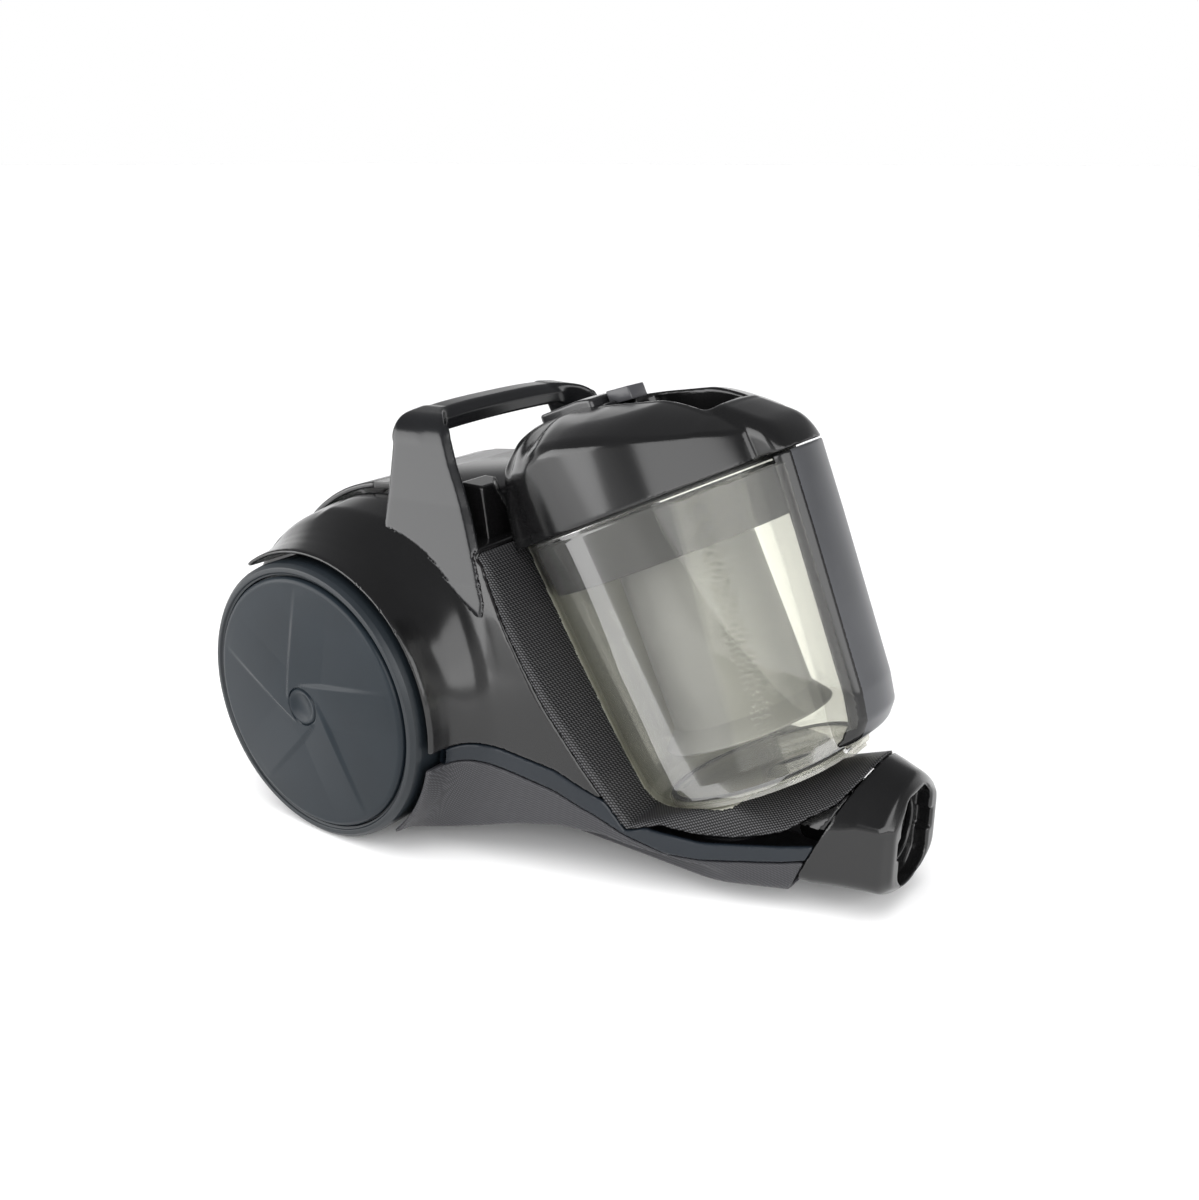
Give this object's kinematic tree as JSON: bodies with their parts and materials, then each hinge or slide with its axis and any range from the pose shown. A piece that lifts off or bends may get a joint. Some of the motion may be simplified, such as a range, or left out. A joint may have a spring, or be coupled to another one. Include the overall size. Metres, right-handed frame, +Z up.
{
  "type": "canister vacuum cleaner",
  "caption": "Bagless canister vacuum cleaner with large rear wheels, leaning clear dust bin, hinged lid and floor, carry handle, foot pedals and hose inlet.",
  "frame": {"origin": "on the floor, midway between the rear grille and the hose inlet mouth, in the middle plane between the wheels", "axes": "+X forward to the hose inlet, +Z up, +Y to the left of the machine"},
  "size_m": [0.4268, 0.29, 0.2719],
  "materials": {
    "chassis": "satin, fine horizontal mesh",
    "band": "satin",
    "shell": "high gloss",
    "trim": "woven raised dots",
    "handle": "gloss",
    "rubber": "matte",
    "inner_plastic": "matte",
    "motor_steel": "satin",
    "bright_steel": "ground",
    "board": "lacquered",
    "switch_plastic": "matte",
    "filter_paper": "pleated paper",
    "copper": "lacquered",
    "fan_metal": "satin",
    "drum": "satin",
    "wheel": "satin",
    "tyre": "matte",
    "hub": "satin gloss",
    "clear_plastic": "clear, faintly warm",
    "strip": "satin metallic",
    "skirt": "satin",
    "shroud": "satin",
    "lid": "gloss",
    "grip": "gloss",
    "filter_plastic": "matte",
    "foam": "open cell foam",
    "button": "satin",
    "floor_plastic": "clear, faintly warm",
    "pedal": "gloss",
    "grille": "satin"
  },
  "bodies": {
    "base": {"lower_chassis": "chassis", "side_bands": "band", "upper_housing": "shell", "cradle_trim": "trim", "deck_panel": "shell", "carry_handle": "handle", "inlet_snout": "shell", "snout_seal": "rubber", "inlet_duct": "inner_plastic", "duct_gasket": "rubber", "intake_duct": "inner_plastic", "intake_gasket": "rubber", "motor_bucket": "inner_plastic", "motor_mounts": "rubber", "motor_stator": "motor_steel", "motor_bearings": "bright_steel", "circuit_board": "board", "mains_switch": "switch_plastic", "reel_shaft": "bright_steel", "exhaust_filter": "filter_paper", "cord_outlet": "rubber", "wheel_axles": "bright_steel", "caster_socket": "chassis", "chassis_screws": "bright_steel", "grille_pin": "bright_steel"},
    "rotor": {"motor_shaft": "bright_steel", "motor_armature": "copper", "fan_impeller": "fan_metal"},
    "cord_reel": {"cord_drum": "drum"},
    "right_wheel": {"wheel_rim_right": "wheel", "wheel_tyre_right": "tyre", "hub_cap_right": "hub"},
    "left_wheel": {"wheel_rim_left": "wheel", "wheel_tyre_left": "tyre", "hub_cap_left": "hub"},
    "caster": {"caster_fork": "chassis", "caster_axle": "bright_steel"},
    "caster_wheel": {"caster_roller": "tyre"},
    "bin": {"bin_cup": "clear_plastic", "front_strip": "strip", "cyclone_skirt": "skirt", "cyclone_shroud": "shroud", "vortex_tube": "shroud", "lid_hinge_pin": "bright_steel", "floor_hinge_pin": "bright_steel"},
    "lid": {"bin_lid": "lid", "lid_gasket": "rubber", "lid_grip": "grip", "filter_frame": "filter_plastic", "foam_filter": "foam"},
    "button": {"release_button": "button"},
    "dust_door": {"bin_floor": "floor_plastic", "floor_gasket": "rubber"},
    "power": {"power_pedal": "pedal"},
    "rewind": {"rewind_pedal": "pedal"},
    "grille": {"exhaust_grille": "grille"}
  },
  "joints": [
    {"name": "motor_spin", "type": "hinge", "parent": "base", "child": "rotor", "pos_m": [-0.11, -0.02, 0.095], "axis": [1, 0, 0], "continuous": true},
    {"name": "reel_spin", "type": "hinge", "parent": "base", "child": "cord_reel", "pos_m": [-0.128, 0, 0.098], "axis": [0, 1, 0], "continuous": true},
    {"name": "right_wheel_spin", "type": "hinge", "parent": "base", "child": "right_wheel", "pos_m": [-0.11, 0, 0.086], "axis": [0, 1, 0], "continuous": true},
    {"name": "left_wheel_spin", "type": "hinge", "parent": "base", "child": "left_wheel", "pos_m": [-0.11, 0, 0.086], "axis": [0, 1, 0], "continuous": true},
    {"name": "caster_swivel", "type": "hinge", "parent": "base", "child": "caster", "pos_m": [0.095, 0, 0.0226], "axis": [0, 0, 1], "continuous": true},
    {"name": "caster_roll", "type": "hinge", "parent": "caster", "child": "caster_wheel", "pos_m": [0.087, 0, 0.011], "axis": [0, 1, 0], "continuous": true},
    {"name": "bin_lift", "type": "slide", "parent": "base", "child": "bin", "axis": [0, 0, 1], "range_m": [0, 0.2]},
    {"name": "lid_hinge", "type": "hinge", "parent": "bin", "child": "lid", "pos_m": [-0.0295, 0, 0.16721], "axis": [0, -1, 0], "range_deg": [0, 50]},
    {"name": "dust_door_hinge", "type": "hinge", "parent": "bin", "child": "dust_door", "pos_m": [0.17568, 0, 0.08871], "axis": [0, -1, 0], "range_deg": [0, 65]},
    {"name": "button_press", "type": "slide", "parent": "lid", "child": "button", "axis": [0.4384, 0, -0.8988], "range_m": [0, 0.002], "stiffness_N_per_m": 300, "springref_m": -0.002},
    {"name": "power_press", "type": "slide", "parent": "base", "child": "power", "axis": [0, 0, -1], "range_m": [0, 0.003], "stiffness_N_per_m": 700, "springref_m": -0.002},
    {"name": "rewind_press", "type": "slide", "parent": "base", "child": "rewind", "axis": [0, 0, -1], "range_m": [0, 0.003], "stiffness_N_per_m": 700, "springref_m": -0.002},
    {"name": "grille_hinge", "type": "hinge", "parent": "base", "child": "grille", "pos_m": [-0.2084, 0, 0.0436], "axis": [0, -1, 0], "range_deg": [0, 70]}
  ],
  "couplings": [
    {"joint": "lid_hinge", "follows": "bin_lift", "rad_per_m": 4.359},
    {"joint": "dust_door_hinge", "follows": "bin_lift", "rad_per_m": 5.6666}
  ]
}
